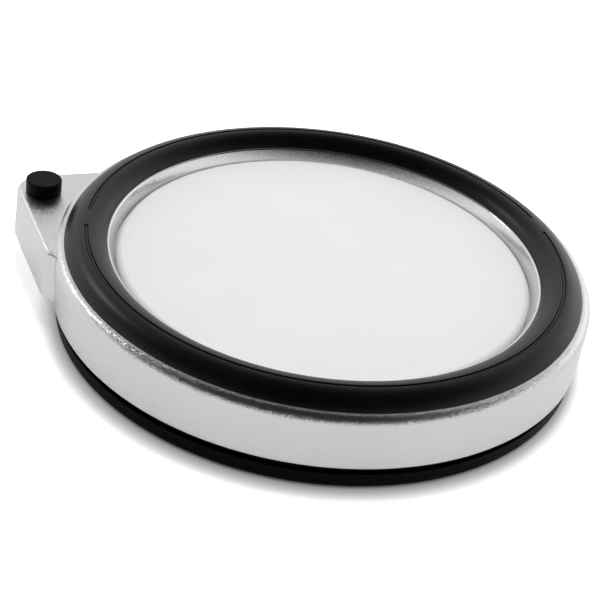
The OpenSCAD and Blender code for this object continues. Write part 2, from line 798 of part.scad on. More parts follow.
module jack_body() {
    color([0.1, 0.1, 0.1])
    difference() {
        union() {
            translate([jack_x - jack_w / 2, jack_back, jack_z - jack_h / 2])
                cube([jack_w, jack_y - jack_back, jack_h]);
            at_jack(jack_y - cut) cylinder(d = nose_d, h = jack_front - jack_y + cut);
        }
        at_jack(jack_front - bore_l) cylinder(r = bore_r, h = bore_l + cut);
    }
}

module jack_plate() {
    color([0.15, 0.15, 0.16])
    difference() {
        translate([jack_x - jack_plate_w / 2, ear_y, jack_z - jack_plate_h / 2])
            cube([jack_plate_w, jack_plate_t, jack_plate_h]);
        at_jack(ear_y - cut) cylinder(d = nose_d + 2 * fit_gap, h = jack_plate_t + 2 * cut);
    }
}

module jack_washer() {
    washer_d = jack_nut_af + 2;
    color([0.75, 0.75, 0.76])
    at_jack(ear_y + jack_plate_t) flat_ring(washer_d, nose_d + 2 * thread_gap, jack_washer_t);
}

module jack_nut() {
    color([0.78, 0.78, 0.79])
    at_jack(ear_y + jack_plate_t + jack_washer_t) hex_nut(jack_nut_af, jack_nut_t, nose_d + 2 * thread_gap);
}

module jack_lugs() {
    lug_w = 2;
    lug_t = 0.6;
    color([0.75, 0.75, 0.7])
    for (k = [-1, 0, 1])
        translate([jack_x + k * jack_w / 3 - lug_w / 2, jack_back - lug_l, jack_z - lug_t / 2])
            cube([lug_w, lug_l, lug_t]);
}

// Places its children at the board's four corner screws
module at_board_corners() {
    dx = board_l / 2 - board_edge;
    dy = board_w / 2 - board_edge;
    for (sx = [-1, 1], sy = [-1, 1]) translate([board_x + sx * dx, board_y + sy * dy, 0]) children();
}

module sensor_board() {
    color([0.1, 0.35, 0.2])
    difference() {
        translate([board_x - board_l / 2, board_y - board_w / 2, board_z]) cube([board_l, board_w, board_t]);
        at_board_corners() cylinder(d = board_screw_d + 2 * screw_gap, h = plug_z);
    }
}

// A chip, and a row of capacitors beside it
module board_parts() {
    chip = [chip_l, chip_w, chip_h];
    color([0.1, 0.1, 0.1])
    translate([board_x - cap_pitch / 2, board_y, board_z + board_t]) {
        translate([0, -part_row - chip_w / 2, chip_h / 2]) cube(chip, center = true);
        for (i = [0:2]) translate([i * cap_pitch, part_row, 0]) cylinder(d = cap_d, h = cap_h);
    }
}

module board_connectors() {
    color([0.9, 0.88, 0.8])
    translate([0, 0, board_z + board_t]) {
        translate(bus_at - [plug_w, bus_l] / 2) cube([plug_w, bus_l, plug_h]);
        translate(piezo_at - [plug_w, plug_w] / 2) cube([plug_w, plug_w, plug_h]);
    }
}

module board_screws() {
    board_screw_h = 1.6;
    color([0.6, 0.6, 0.6])
    at_board_corners() translate([0, 0, board_z + board_t]) mirror([0, 0, 1])
        screw(board_screw_d, 2 * board_screw_d, board_screw_h, board_lift + board_t - end_gap);
}

module piezo_lead() {
    from = [solder_x, 0, ceramic_z];
    up = [0, 0, 1];
    plug = [piezo_at[0], piezo_at[1], plug_z];
    bend_part = bend(from - stub * up, -pull * up, plug + stub * up, pull * up);
    color([0.8, 0.1, 0.1]) tube(concat([from], bend_part, [plug]), lead_d);
}

module front_rim_lead() {
    color([0.9, 0.8, 0.2]) tube(case_lead(tail_end(1), [0, 0, -1], 0), lead_d);
}

module rear_rim_lead() {
    color([0.2, 0.4, 0.8]) tube(case_lead(tail_end(-1), [0, 0, -1], 1), lead_d);
}

module pot_lead() {
    from = [knob_x, tab_y, ear_ceiling - pot_h + tab_rise + tab_h / 2];
    color([0.85, 0.85, 0.85]) tube(case_lead(from, [0, -1, 0], 2), lead_d);
}

module jack_lead() {
    color([0.3, 0.3, 0.3]) tube(case_lead([jack_x, jack_back - lug_l, jack_z], [0, -1, 0], 3), lead_d);
}

shell();
rim_frame();
bottom_cover();
ear_cover();
cover_screws();
ear_screws();
rim_hoop();
front_rim_switch();
rear_rim_switch();
playing_head();
head_plate();
foam_ring();
piezo_tape();
piezo_disc();
piezo_ceramic();
control_knob();
pot_shaft();
pot_body();
pot_washer();
pot_nut();
jack_body();
jack_plate();
jack_washer();
jack_nut();
jack_lugs();
sensor_board();
board_parts();
board_connectors();
board_screws();
piezo_lead();
front_rim_lead();
rear_rim_lead();
jack_lead();
pot_lead();
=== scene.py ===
import bmesh
import bpy
import json
import math
from mathutils import Matrix, Vector


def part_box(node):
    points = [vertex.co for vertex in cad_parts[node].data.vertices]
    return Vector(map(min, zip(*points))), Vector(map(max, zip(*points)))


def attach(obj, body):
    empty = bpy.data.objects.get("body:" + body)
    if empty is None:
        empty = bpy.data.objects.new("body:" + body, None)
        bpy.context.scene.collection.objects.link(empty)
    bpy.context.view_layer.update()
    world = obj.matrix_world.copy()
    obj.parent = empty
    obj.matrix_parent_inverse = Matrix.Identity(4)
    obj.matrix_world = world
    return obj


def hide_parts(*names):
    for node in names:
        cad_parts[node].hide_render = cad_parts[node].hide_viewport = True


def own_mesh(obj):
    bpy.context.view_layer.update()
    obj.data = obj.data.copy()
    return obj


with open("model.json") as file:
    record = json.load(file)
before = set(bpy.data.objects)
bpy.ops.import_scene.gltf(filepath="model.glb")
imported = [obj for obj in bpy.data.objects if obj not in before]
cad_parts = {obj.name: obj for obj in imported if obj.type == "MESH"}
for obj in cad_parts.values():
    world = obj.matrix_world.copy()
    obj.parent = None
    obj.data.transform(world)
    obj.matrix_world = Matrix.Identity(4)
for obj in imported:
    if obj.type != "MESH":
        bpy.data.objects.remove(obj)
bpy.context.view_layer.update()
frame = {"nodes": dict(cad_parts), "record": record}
scene = bpy.context.scene
scene.view_settings.view_transform = "Standard"
mm = 0.001
sharpFrom = 30  # degrees between faces, from which an edge stays sharp
mergeWithin = 0.0005  # mm between points that become one


# general helpers, with all lengths in millimetres until a mesh is made

def boxOf(node):
    low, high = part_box(node)
    return low / mm, high / mm


def linear(hexColour):
    channels = [int(hexColour[i:i + 2], 16) / 255 for i in (1, 3, 5)]
    return tuple(c / 12.92 if c <= 0.04045 else ((c + 0.055) / 1.055) ** 2.4 for c in channels) + (1,)


def towards(azimuth, elevation):
    # azimuth 0 is the player's side and 90 is +X
    a, e = math.radians(azimuth), math.radians(elevation)
    return Vector((math.sin(a) * math.cos(e), -math.cos(a) * math.cos(e), math.sin(e)))


def arcPoints(centre, radius, start, end, steps):
    angles = [math.radians(start + (end - start) * i / steps) for i in range(steps + 1)]
    return [(centre[0] + radius * math.cos(a), centre[1] + radius * math.sin(a)) for a in angles]


def markSharp(bm):
    bmesh.ops.remove_doubles(bm, verts=bm.verts, dist=mergeWithin * mm)
    bmesh.ops.recalc_face_normals(bm, faces=bm.faces)
    for face in bm.faces:
        face.smooth = True
    for edge in bm.edges:
        edge.smooth = edge.calc_face_angle(0) < math.radians(sharpFrom)


def meshPiece(name, bm):
    markSharp(bm)
    mesh = bpy.data.meshes.new(name)
    bm.to_mesh(mesh)
    bm.free()
    piece = bpy.data.objects.new(name, mesh)
    scene.collection.objects.link(piece)
    return piece


def addLathe(bm, outline, centre=(0, 0), steps=360):
    # a closed outline of (radius, height) turned about an upright axis
    rings = []
    for radius, height in outline:
        if radius < 1e-6:
            rings.append([bm.verts.new((centre[0] * mm, centre[1] * mm, height * mm))] * steps)
            continue
        turn = arcPoints(centre, radius, 0, 360, steps)[:-1]
        rings.append([bm.verts.new((x * mm, y * mm, height * mm)) for x, y in turn])
    for near, far in zip(rings, rings[1:] + rings[:1]):
        for i in range(steps):
            j = (i + 1) % steps
            corners = list(dict.fromkeys((near[i], near[j], far[j], far[i])))
            if len(corners) > 2:
                bm.faces.new(corners)


def addLoft(bm, levels):
    # outlines of equal length, one above the other, closed at both ends
    rings = [[bm.verts.new((x * mm, y * mm, z * mm)) for x, y in outline] for outline, z in levels]
    for near, far in zip(rings, rings[1:]):
        for i in range(len(near)):
            j = (i + 1) % len(near)
            bm.faces.new((near[i], near[j], far[j], far[i]))
    bm.faces.new(rings[0])
    bm.faces.new(rings[-1])


def lathePiece(name, outline, centre=(0, 0), steps=360):
    bm = bmesh.new()
    addLathe(bm, outline, centre, steps)
    return meshPiece(name, bm)


def loftPiece(name, levels):
    bm = bmesh.new()
    addLoft(bm, levels)
    return meshPiece(name, bm)


def combine(piece, tool, how):
    change = piece.modifiers.new(how, "BOOLEAN")
    change.operation = how
    change.solver = "EXACT"
    change.object = tool
    made = bpy.data.meshes.new_from_object(piece.evaluated_get(bpy.context.evaluated_depsgraph_get()))
    piece.modifiers.remove(change)
    piece.data = made
    bpy.data.objects.remove(tool)


def evenShading(piece):
    # broad faces keep their own normals beside small roundings
    weigh = piece.modifiers.new("evenShading", "WEIGHTED_NORMAL")
    weigh.keep_sharp = True
    weigh.weight = 100


def dress(piece, body, slotName, *nodes, finish=None):
    # finish is given where a piece looks other than the rest of its slot
    evenShading(piece)
    piece.data.materials.clear()
    piece.data.materials.append(finishes[finish or slotName])
    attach(piece, body)
    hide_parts(*nodes)


def addNode(tree, kind, values=None, links=None, **settings):
    node = tree.nodes.new(kind)
    for name, value in settings.items():
        setattr(node, name, value)
    for socket, value in (values or {}).items():
        node.inputs[socket].default_value = value
    for socket, source in (links or {}).items():
        tree.links.new(source, node.inputs[socket])
    return node


def startMaterial(name):
    material = bpy.data.materials.new(name)
    material.use_nodes = True
    material.node_tree.nodes.clear()
    return material, material.node_tree


def perMm(size):
    # a pattern's scale from the width of one of its cells
    return 1 / (size * mm)


# materials

def silverLacquer(name, look):
    # aluminium-flake lacquer on moulded ABS: a satin silver that mirrors the room softly
    # and breaks into sparks where a reflection turns from dark to bright
    material, tree = startMaterial(name)
    place = addNode(tree, "ShaderNodeTexCoord")
    facing = addNode(tree, "ShaderNodeNewGeometry")
    # real flakes are some 0.05 mm wide: drawn coarser, so that they show
    flakes = addNode(tree, "ShaderNodeTexVoronoi", {"Scale": perMm(look["flake"])},
                     {"Vector": place.outputs["Object"]})
    lean = addNode(tree, "ShaderNodeVectorMath", {1: (0.5, 0.5, 0.5)}, {0: flakes.outputs["Color"]},
                   operation="SUBTRACT")
    leanBy = addNode(tree, "ShaderNodeVectorMath", {"Scale": look["tilt"]}, {0: lean.outputs[0]},
                     operation="SCALE")
    leaning = addNode(tree, "ShaderNodeVectorMath", None,
                      {0: facing.outputs["Normal"], 1: leanBy.outputs[0]}, operation="ADD")
    normal = addNode(tree, "ShaderNodeVectorMath", None, {0: leaning.outputs[0]}, operation="NORMALIZE")
    cloud = addNode(tree, "ShaderNodeTexNoise", {"Scale": perMm(look["cloud"]), "Detail": 2.0},
                    {"Vector": place.outputs["Object"]})
    colour = addNode(tree, "ShaderNodeMix", {6: linear(look["dark"]), 7: linear(look["light"])},
                     {0: cloud.outputs["Fac"]}, data_type="RGBA")
    paint = addNode(tree, "ShaderNodeBsdfPrincipled",
                    {"Metallic": 1.0, "Roughness": look["roughness"]},
                    {"Base Color": colour.outputs[2], "Normal": normal.outputs[0]})
    addNode(tree, "ShaderNodeOutputMaterial", None, {"Surface": paint.outputs[0]})
    return material


def mouldedSurface(name, look):
    # a moulded skin: its colour and gloss drift a little, and its grain breaks up the highlight
    material, tree = startMaterial(name)
    place = addNode(tree, "ShaderNodeTexCoord")
    drift = addNode(tree, "ShaderNodeTexNoise", {"Scale": perMm(look["drift"]), "Detail": 3.0},
                    {"Vector": place.outputs["Object"]})
    grain = addNode(tree, "ShaderNodeTexNoise", {"Scale": perMm(look["grain"]), "Detail": 2.0},
                    {"Vector": place.outputs["Object"]})
    colour = addNode(tree, "ShaderNodeMix", {6: linear(look["dark"]), 7: linear(look["light"])},
                     {0: drift.outputs["Fac"]}, data_type="RGBA")
    gloss = addNode(tree, "ShaderNodeMapRange", {"To Min": look["rough"][0], "To Max": look["rough"][1]},
                    {"Value": drift.outputs["Fac"]})
    relief = addNode(tree, "ShaderNodeBump", {"Strength": 1.0, "Distance": look["depth"] * mm},
                     {"Height": grain.outputs["Fac"]})
    skin = addNode(tree, "ShaderNodeBsdfPrincipled",
                   {"IOR": look["ior"], "Specular IOR Level": look.get("gloss", 0.5)},
                   {"Base Color": colour.outputs[2], "Roughness": gloss.outputs[0],
                    "Normal": relief.outputs[0]})
    addNode(tree, "ShaderNodeOutputMaterial", None, {"Surface": skin.outputs[0]})
    return material


def metalSheet(name, look):
    # rolled or plated metal: fine drawn lines along one way, with a little drift in the gloss
    material, tree = startMaterial(name)
    place = addNode(tree, "ShaderNodeTexCoord")
    stretch = addNode(tree, "ShaderNodeMapping", {"Scale": look["stretch"]},
                      {"Vector": place.outputs["Object"]})
    lines = addNode(tree, "ShaderNodeTexNoise", {"Scale": perMm(look["line"]), "Detail": 3.0},
                    {"Vector": stretch.outputs[0]})
    colour = addNode(tree, "ShaderNodeMix", {6: linear(look["dark"]), 7: linear(look["light"])},
                     {0: lines.outputs["Fac"]}, data_type="RGBA")
    gloss = addNode(tree, "ShaderNodeMapRange", {"To Min": look["rough"][0], "To Max": look["rough"][1]},
                    {"Value": lines.outputs["Fac"]})
    metal = addNode(tree, "ShaderNodeBsdfPrincipled", {"Metallic": 1.0},
                    {"Base Color": colour.outputs[2], "Roughness": gloss.outputs[0]})
    addNode(tree, "ShaderNodeOutputMaterial", None, {"Surface": metal.outputs[0]})
    return material


def whiteSilicone():
    # cellular silicone cast in a leather-grained mould: off-white, matt, with a fine pebbled skin
    look = {"light": "#f0f0f0", "dark": "#eaeaea", "pebble": 1.1, "depth": 0.05, "roughness": 0.62,
            "ior": 1.43, "drift": 45}
    material, tree = startMaterial("white_silicone_leather_grain")
    place = addNode(tree, "ShaderNodeTexCoord")
    drift = addNode(tree, "ShaderNodeTexNoise", {"Scale": perMm(look["drift"]), "Detail": 2.0},
                    {"Vector": place.outputs["Object"]})
    # the mould's grain is near 0.6 mm: drawn wider, so that it shows
    pebbles = addNode(tree, "ShaderNodeTexVoronoi", {"Scale": perMm(look["pebble"]), "Smoothness": 0.6},
                      {"Vector": place.outputs["Object"]}, feature="SMOOTH_F1")
    colour = addNode(tree, "ShaderNodeMix", {6: linear(look["dark"]), 7: linear(look["light"])},
                     {0: drift.outputs["Fac"]}, data_type="RGBA")
    relief = addNode(tree, "ShaderNodeBump", {"Strength": 0.6, "Distance": look["depth"] * mm},
                     {"Height": pebbles.outputs["Distance"]}, invert=True)
    skin = addNode(tree, "ShaderNodeBsdfPrincipled", {"Roughness": look["roughness"], "IOR": look["ior"]},
                   {"Base Color": colour.outputs[2], "Normal": relief.outputs[0]})
    addNode(tree, "ShaderNodeOutputMaterial", None, {"Surface": skin.outputs[0]})
    return material


finishes = {
    # sprayed over the moulding's grain: satin, with sparks
    "silver_paint": silverLacquer("silver_lacquer_sprayed", {
        "light": "#d2d2d2", "dark": "#cacaca", "roughness": 0.32, "flake": 0.5, "tilt": 0.24, "cloud": 60}),
    # sprayed over a smooth moulding: the rubber and the head show in it as soft bands
    "smooth_silver": silverLacquer("silver_lacquer_sprayed_smooth", {
        "light": "#d2d2d2", "dark": "#cacaca", "roughness": 0.19, "flake": 0.5, "tilt": 0.05, "cloud": 60}),
    # cast silicone: the bright, matt playing face
    "head_silicone": whiteSilicone(),
    # pressed EPDM rubber, matt from the mould: near black, with broad soft highlights
    "rim_rubber": mouldedSurface("black_rubber_moulded", {
        "dark": "#040404", "light": "#080808", "rough": (0.31, 0.37), "ior": 1.52, "gloss": 0.22,
        "grain": 0.8, "depth": 0.02, "drift": 30}),
    # spark-eroded ABS: black, with an even dull sheen
    "black_abs": mouldedSurface("black_abs_spark_eroded", {
        "dark": "#030303", "light": "#060606", "rough": (0.42, 0.5), "ior": 1.54, "gloss": 0.05,
        "grain": 0.7, "depth": 0.03, "drift": 25}),
    # satin ABS: the knob's skin, smoother than the base
    "knob_plastic": mouldedSurface("black_abs_satin_moulded", {
        "dark": "#040404", "light": "#070707", "rough": (0.42, 0.50), "ior": 1.54, "gloss": 0.05,
        "grain": 0.6, "depth": 0.02, "drift": 12}),
    # cut polyurethane foam: dark grey, dull and open-pored
    "foam": mouldedSurface("polyurethane_foam_cut", {
        "dark": "#242426", "light": "#3a3a3d", "rough": (0.85, 0.95), "ior": 1.4,
        "grain": 0.9, "depth": 0.4, "drift": 4}),
    # silvered ceramic: pale, with a satin sheen
    "sensor_ceramic": mouldedSurface("pzt_ceramic_silvered", {
        "dark": "#c9c7bd", "light": "#d8d6cc", "rough": (0.30, 0.42), "ior": 1.6,
        "grain": 0.4, "depth": 0.01, "drift": 5}),
    # printed polyimide film: amber and glossy
    "switch_film": mouldedSurface("polyimide_film_printed", {
        "dark": "#a8641c", "light": "#bd7726", "rough": (0.22, 0.34), "ior": 1.66,
        "grain": 1.5, "depth": 0.01, "drift": 20}),
    # solder mask on glass epoxy: dark green, with a soft gloss
    "board_green": mouldedSurface("glass_epoxy_solder_mask", {
        "dark": "#123d22", "light": "#1b522f", "rough": (0.30, 0.42), "ior": 1.55,
        "grain": 0.5, "depth": 0.01, "drift": 8}),
    # moulded epoxy: the chips' dull black
    "chip_black": mouldedSurface("epoxy_moulding_black", {
        "dark": "#151516", "light": "#1e1e20", "rough": (0.5, 0.62), "ior": 1.55,
        "grain": 0.3, "depth": 0.02, "drift": 4}),
    # natural nylon: the plugs' milky white
    "plug_nylon": mouldedSurface("nylon_natural_moulded", {
        "dark": "#dcd6c2", "light": "#e8e3d2", "rough": (0.4, 0.5), "ior": 1.53,
        "grain": 0.6, "depth": 0.01, "drift": 6}),
    # extruded PVC: black, with a soft gloss
    "lead_pvc": mouldedSurface("pvc_sleeve_extruded", {
        "dark": "#19191a", "light": "#242426", "rough": (0.38, 0.48), "ior": 1.54,
        "grain": 0.5, "depth": 0.01, "drift": 6}),
    # zinc-plated sheet: pale grey, with lines along the rolling
    "plate_steel": metalSheet("steel_zinc_plated", {
        "dark": "#a9abad", "light": "#bfc1c3", "rough": (0.28, 0.42), "line": 0.5,
        "stretch": (1, 0.08, 1)}),
    # black zinc: the screws' dark sheen
    "screw_steel": metalSheet("steel_black_zinc", {
        "dark": "#2a2a2c", "light": "#3a3a3d", "rough": (0.30, 0.44), "line": 0.4,
        "stretch": (1, 1, 0.2)}),
    # nickel on brass: the socket's bright ring
    "bright_nickel": metalSheet("brass_nickel_plated", {
        "dark": "#c4c1b8", "light": "#d6d3ca", "rough": (0.16, 0.26), "line": 0.4,
        "stretch": (1, 1, 0.2)}),
    # rolled brass: yellow, with fine lines
    "sensor_brass": metalSheet("brass_sheet_rolled", {
        "dark": "#b8944a", "light": "#cfae63", "rough": (0.25, 0.38), "line": 0.4,
        "stretch": (1, 0.08, 1)}),
}
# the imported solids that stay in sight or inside
slotOf = {part["node"]: part["material_slot"] for part in frame["record"]["subparts"]}
for node, solid in frame["nodes"].items():
    solid.data.materials.clear()
    solid.data.materials.append(finishes[slotOf[node]])
print("materials:", len(finishes))


# the sizes that pieces share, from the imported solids
shellLow, shellHigh = boxOf("shell")
hoopLow, hoopHigh = boxOf("rim_hoop")
frameLow, frameHigh = boxOf("rim_frame")
headLow, headHigh = boxOf("playing_head")
knobLow, knobHigh = boxOf("control_knob")
shellRadius, shellFoot, shellTop = shellHigh.x, shellLow.z, shellHigh.z
hoopRadius, crownTop = hoopHigh.x, hoopHigh.z

# silver shell: a ring with a rounded shoulder, a lip under the rubber and an ear at the left rear
shellSizes = {
    "wall": 4.0, "skirtStep": 1.0, "skirt": 5.8, "lowerEdge": 0.7,
    "lip": 3.0, "collarGap": 0.2, "collar": 2.5, "ledge": 2.5, "ledgeRadius": 128.0, "seat": 4.2,
    "earDrop": 1.0, "earWall": 2.5, "earCorner": 15.0, "earEdge": 2.0, "earFoot": 0.6, "earLength": 77.0,
    "taper": 2.3, "draft": 1.4, "noseAcross": 5.3, "noseAlong": 7.2, "noseRound": 5.0,
    "hollowLean": (-0.5, 0.9),  # shares of the draft at the hollow's foot and ceiling
    "neckHole": 8.4, "socketHole": 10.0, "socketReach": 9.0, "doorway": (140.4, 163.0), "cutPast": 1.0,
}


def shellRing(s):
    shoulder = shellRadius - hoopRadius
    skirtRadius = shellRadius - s["wall"] + s["skirtStep"]
    collarRadius = frameHigh.x + s["collarGap"]
    collarOut = collarRadius + s["collar"]
    wallRadius = shellRadius - s["wall"]
    seatZ = shellTop - s["seat"]
    edge = s["lowerEdge"]
    return (
        [(skirtRadius, shellFoot)]
        + arcPoints((shellRadius - edge, shellFoot + edge), edge, -90, 0, steps=6)
        + arcPoints((hoopRadius, shellTop - shoulder), shoulder, 0, 90, steps=20)
        + [(collarRadius, shellTop), (collarRadius, seatZ), (s["ledgeRadius"], seatZ),
           (s["ledgeRadius"], seatZ - s["ledge"]), (collarOut, seatZ - s["ledge"]),
           (collarOut, shellTop - s["lip"]), (wallRadius, shellTop - s["lip"]),
           (wallRadius, shellFoot + s["skirt"]), (skirtRadius, shellFoot + s["skirt"])])


def earOutline(s, inset, lean):
    # the ear from above, drawn in by an even inset: rear corner, left face, slanted front end
    rear, corner, soft = boxOf("jack_plate")[0].y, s["earCorner"], s["noseRound"]
    slope, across = math.tan(math.radians(s["taper"])), 1 / math.cos(math.radians(s["taper"]))
    left = shellLow.x - corner * (slope + across - 1)
    turnAt = (left + corner * slope + (lean + corner) * across, rear - corner)
    along = Vector((s["noseAcross"], -s["noseAlong"])).normalized()
    inward = Vector((-along.y, along.x))
    nose = Vector((left + s["earLength"] * slope, rear - s["earLength"])) + soft * inward
    slide = (lean + soft) * across - soft * (inward.x + slope * inward.y)
    nose += along * (slide / (along.x + slope * along.y))
    faceAngle = 180 + s["taper"]
    noseAngle = 180 + math.degrees(math.atan2(s["noseAcross"], s["noseAlong"]))
    points = [(-shellRadius / 2, rear - inset)]
    points += arcPoints(turnAt, corner - inset, 90, faceAngle, steps=24)
    points += arcPoints(nose, soft - inset, faceAngle, noseAngle, steps=10)
    # the slanted end runs on into the ring
    runOn = 2 * s["noseAlong"]
    points.append((points[-1][0] + runOn * along.x, points[-1][1] + runOn * along.y))
    points.append((-shellRadius / 2, points[-1][1]))
    return points


def shellEar(s):
    # the left face leans in on its way up, and all edges are rounded
    top, edge, foot = shellTop - s["earDrop"], s["earEdge"], s["earFoot"]
    steps = [math.radians(90 * step / 8) for step in range(9)]
    levels = [(foot * (1 - math.sin(a)), shellFoot + foot * (1 - math.cos(a))) for a in steps]
    levels += [(edge * (1 - math.cos(a)), top - edge + edge * math.sin(a)) for a in steps]
    return [(earOutline(s, inset, s["draft"] * (z - shellFoot) / (top - shellFoot)), z)
            for inset, z in levels]


def earOpenings(s):
    # holes for the control's neck and the socket, and the doorway to the main space
    neck = (knobLow + knobHigh) / 2
    socketLow, socketHigh = boxOf("jack_plate")
    socket, half, reach = (socketLow + socketHigh) / 2, s["socketHole"] / 2, s["socketReach"]
    hole = arcPoints((neck.x, neck.y), s["neckHole"] / 2, 0, 360, steps=48)[:-1]
    frameHole = [(socket.x + x, socketLow.y + y)
                 for x, y in ((-half, -reach), (half, -reach), (half, reach), (-half, reach))]
    door = (arcPoints((0, 0), shellRadius - s["wall"] - s["cutPast"], *s["doorway"], steps=24)
            + arcPoints((0, 0), shellRadius + s["cutPast"], *reversed(s["doorway"]), steps=24))
    doorTop = shellTop - s["seat"] - s["ledge"]
    return [loftPiece("neckHole", [(hole, doorTop), (hole, crownTop)]),
            loftPiece("socketHole", [(frameHole, socket.z - half), (frameHole, socket.z + half)]),
            loftPiece("doorway", [(door, shellFoot + s["skirt"]), (door, doorTop)])]


def buildShell(s):
    shell = lathePiece("silver_shell", shellRing(s))
    ear = loftPiece("ear", shellEar(s))
    ceiling = shellTop - s["earDrop"] - s["earWall"]
    hollow = loftPiece("hollow", [(earOutline(s, s["earWall"], s["draft"] * share), z)
                                  for share, z in zip(s["hollowLean"], (0, ceiling))])
    combine(ear, hollow, "DIFFERENCE")
    inside = shellRadius - s["wall"] / 2
    core = lathePiece("core", [(0, 0), (inside, 0), (inside, crownTop), (0, crownTop)])
    combine(ear, core, "DIFFERENCE")
    combine(shell, ear, "UNION")
    for opening in earOpenings(s):
        combine(shell, opening, "DIFFERENCE")
    bm = bmesh.new()
    bm.from_mesh(shell.data)
    markSharp(bm)
    bm.to_mesh(shell.data)
    bm.free()
    return shell


shell = buildShell(shellSizes)
dress(shell, "case", "silver_paint", "shell")
print("shell:", len(shell.data.polygons), "faces")

# rubber hoop: a round back with a creased strip along it in two arcs
hoopSizes = {
    "width": 22.2, "tongueIn": 2.3, "tongue": 1.8,
    "groove": 1.9, "grooveDepth": 1.0, "grooveEdge": 0.17, "grooveEnd": 0.2,
    # across one crease: how far out in edges, and its share of the depth; then the strip's own
    "crease": ((1.0, 0.0), (0.3, 0.06), (0.0, 0.3), (-0.5, 1.0), (-1.5, 1.0), (-3.0, 0.5)),
    "strip": (0.25, 0.45),
    "arcs": ((3.0, 158.0), (164.8, 356.2)), "stationGap": 0.3,  # degrees
}


def hoopOutline(s, cutShare):
    # one arc from foot to foot, and in it two sharp creases with a raised strip between them
    half, rise = s["width"] / 2, crownTop - shellTop
    middle, inner = hoopRadius - half, hoopRadius - s["width"]
    radius = (half ** 2 + rise ** 2) / (2 * rise)
    centre = (middle, crownTop - radius)
    foot = math.degrees(math.asin((radius - rise) / radius))
    cut, edge = s["groove"] / 2, s["grooveEdge"]
    lipAngle = math.degrees(math.acos((cut + edge) / radius))
    stripShare, stripDepth = s["strip"]
    oneSide = [(cut + out * edge, share) for out, share in s["crease"]] + [(cut * stripShare, stripDepth)]
    across = oneSide + [(-x, share) for x, share in reversed(oneSide)]
    crease = [(middle + x, centre[1] + math.sqrt(radius ** 2 - x ** 2) - share * cutShare * s["grooveDepth"])
              for x, share in across]
    near = arcPoints(centre, radius, foot, lipAngle, steps=20)[:-1]
    far = arcPoints(centre, radius, 180 - lipAngle, 180 - foot, steps=20)[1:]
    tongueFrom, tongueTo = inner + s["tongueIn"], inner + s["tongueIn"] + s["tongue"]
    under = [(tongueFrom, shellTop), (tongueFrom, hoopLow.z), (tongueTo, hoopLow.z), (tongueTo, shellTop)]
    return near + crease + far + under


def buildHoop(s):
    # a ring of outlines, one a degree and more where a groove starts or stops
    end = math.degrees(s["grooveEnd"] / (hoopRadius - s["width"] / 2))
    stations = {}
    for start, stop in s["arcs"]:
        stations.update({start: 0, start + end: 1, stop - end: 1, stop: 0})
    for angle in range(360):
        if min(abs(angle - at) for at in stations) > s["stationGap"]:
            stations[float(angle)] = int(any(start < angle < stop for start, stop in s["arcs"]))
    bm = bmesh.new()
    rings = []
    for angle in sorted(stations):
        a = math.radians(angle)
        outline = hoopOutline(s, stations[angle])
        rings.append([bm.verts.new((r * mm * math.cos(a), r * mm * math.sin(a), z * mm))
                      for r, z in outline])
    for near, far in zip(rings, rings[1:] + rings[:1]):
        for i in range(len(near)):
            j = (i + 1) % len(near)
            bm.faces.new((near[i], near[j], far[j], far[i]))
    return meshPiece("rubber_hoop", bm)


hoop = buildHoop(hoopSizes)
dress(hoop, "case", "rim_rubber", "rim_hoop")
print("hoop:", len(hoop.data.polygons), "faces")

# silver frame under the rubber: its slanted face shows between rubber and head
bezelSizes = {
    "width": 3.8, "height": 5.9, "round": 1.2, "wall": 3.0, "footAbove": 2.8, "seat": 4.2,
    "film": 9.4, "filmDepth": 0.9, "keyIn": 2.1, "key": 2.2, "keyDepth": 2.4,
    "postRadius": 122.5, "post": 9.0, "pilot": 3.6, "posts": 8,
}


def buildBezel(s):
    hoopIn = hoopRadius - hoopSizes["width"]
    hoopMid = hoopRadius - hoopSizes["width"] / 2
    inner = hoopIn - s["width"]
    seatZ, footZ = shellTop - s["seat"], headLow.z + s["footAbove"]
    slant = math.degrees(math.atan2(s["width"] - s["round"], s["height"] - s["round"]))
    film, filmZ = s["film"] / 2, shellTop - s["filmDepth"]
    keyFrom, keyTo, keyZ = hoopIn + s["keyIn"], hoopIn + s["keyIn"] + s["key"], shellTop - s["keyDepth"]
    outline = (
        [(frameHigh.x, seatZ), (frameHigh.x, shellTop), (hoopMid + film, shellTop), (hoopMid + film, filmZ),
         (hoopMid - film, filmZ), (hoopMid - film, shellTop), (keyTo, shellTop), (keyTo, keyZ),
         (keyFrom, keyZ), (keyFrom, shellTop)]
        + arcPoints((hoopIn, shellTop - s["round"]), s["round"], 90, 180 - slant, steps=10)
        + [(inner, shellTop - s["height"]), (inner, footZ), (inner + s["wall"], footZ),
           (inner + s["wall"], seatZ)])
    bm = bmesh.new()
    addLathe(bm, outline)
    bore, post = s["pilot"] / 2, s["post"] / 2
    for k in range(s["posts"]):
        at = towards(90 + 360 * k / s["posts"], 0) * s["postRadius"]
        addLathe(bm, [(bore, frameLow.z), (post, frameLow.z), (post, seatZ), (bore, seatZ)], at, steps=48)
    return meshPiece("rim_carrier", bm)


bezel = buildBezel(bezelSizes)
dress(bezel, "case", "silver_paint", "rim_frame", finish="smooth_silver")
print("bezel:", len(bezel.data.polygons), "faces")

# playing head: one soft disc with a rounded edge and a thin flange under the frame
headSizes = {"gap": 0.25, "edge": 4.0, "flange": 2.5}


